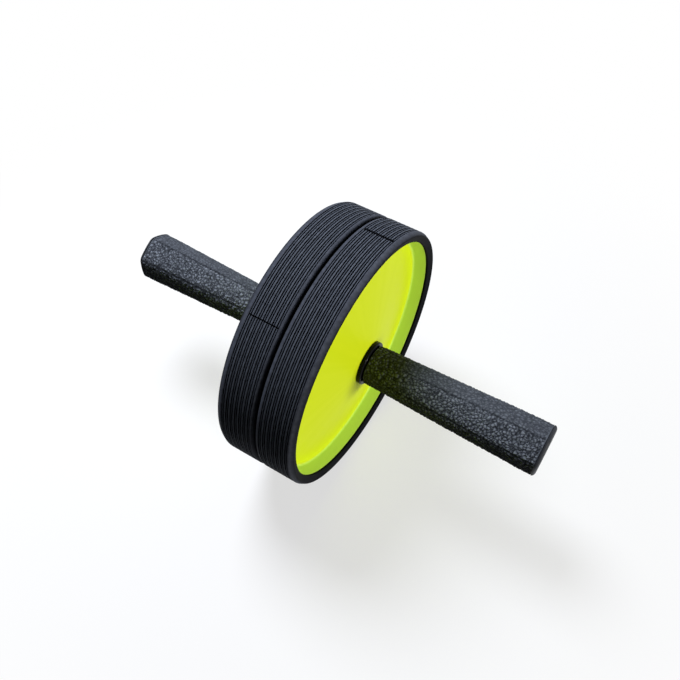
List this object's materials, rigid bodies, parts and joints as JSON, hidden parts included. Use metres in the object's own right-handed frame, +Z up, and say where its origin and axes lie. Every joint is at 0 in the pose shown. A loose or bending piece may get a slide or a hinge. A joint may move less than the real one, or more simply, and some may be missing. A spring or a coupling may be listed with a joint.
{
  "type": "ab wheel roller",
  "caption": "Ab roller for floor exercise: dished wheels with ribbed rubber tyres turn side by side on a steel axle between hexagonal textured handles.",
  "frame": {"origin": "midpoint of the axle, on the common centre line of both wheels", "axes": "+Y along the axle to the right handle, +Z up, +X the way it rolls"},
  "size_m": [0.18, 0.3018, 0.18],
  "materials": {
    "axle_steel": "bright drawn rod",
    "zinc_steel": "zinc plated, satin",
    "bush_nylon": "moulded nylon, natural",
    "lime_plastic": "moulded, glossy",
    "tyre_rubber": "moulded rubber, satin",
    "tread_rubber": "ribbed rubber strip, satin",
    "grip_rubber": "leather-grained moulded rubber",
    "collar_plastic": "moulded, glossy",
    "cap_plastic": "moulded, glossy"
  },
  "bodies": {
    "handlebar": {"axle": "axle_steel", "centre_spacer": "bush_nylon", "thrust_washer_left": "zinc_steel", "handle_core_left": "collar_plastic", "grip_left": "grip_rubber", "end_cap_left": "cap_plastic", "screw_washer_left": "zinc_steel", "end_screw_left": "zinc_steel", "thrust_washer_right": "zinc_steel", "handle_core_right": "collar_plastic", "grip_right": "grip_rubber", "end_cap_right": "cap_plastic", "screw_washer_right": "zinc_steel", "end_screw_right": "zinc_steel"},
    "left_wheel": {"wheel_disc_left": "lime_plastic", "tyre_left": "tyre_rubber", "tread_strip_left": "tread_rubber", "bush_inner_left": "bush_nylon", "bush_outer_left": "bush_nylon"},
    "right_wheel": {"wheel_disc_right": "lime_plastic", "tyre_right": "tyre_rubber", "tread_strip_right": "tread_rubber", "bush_inner_right": "bush_nylon", "bush_outer_right": "bush_nylon"}
  },
  "joints": [
    {"name": "left_wheel_spin", "type": "hinge", "parent": "handlebar", "child": "left_wheel", "pos_m": [0, -0.01415, 0], "axis": [0, 1, 0], "continuous": true},
    {"name": "right_wheel_spin", "type": "hinge", "parent": "handlebar", "child": "right_wheel", "pos_m": [0, 0.01415, 0], "axis": [0, 1, 0], "continuous": true}
  ]
}
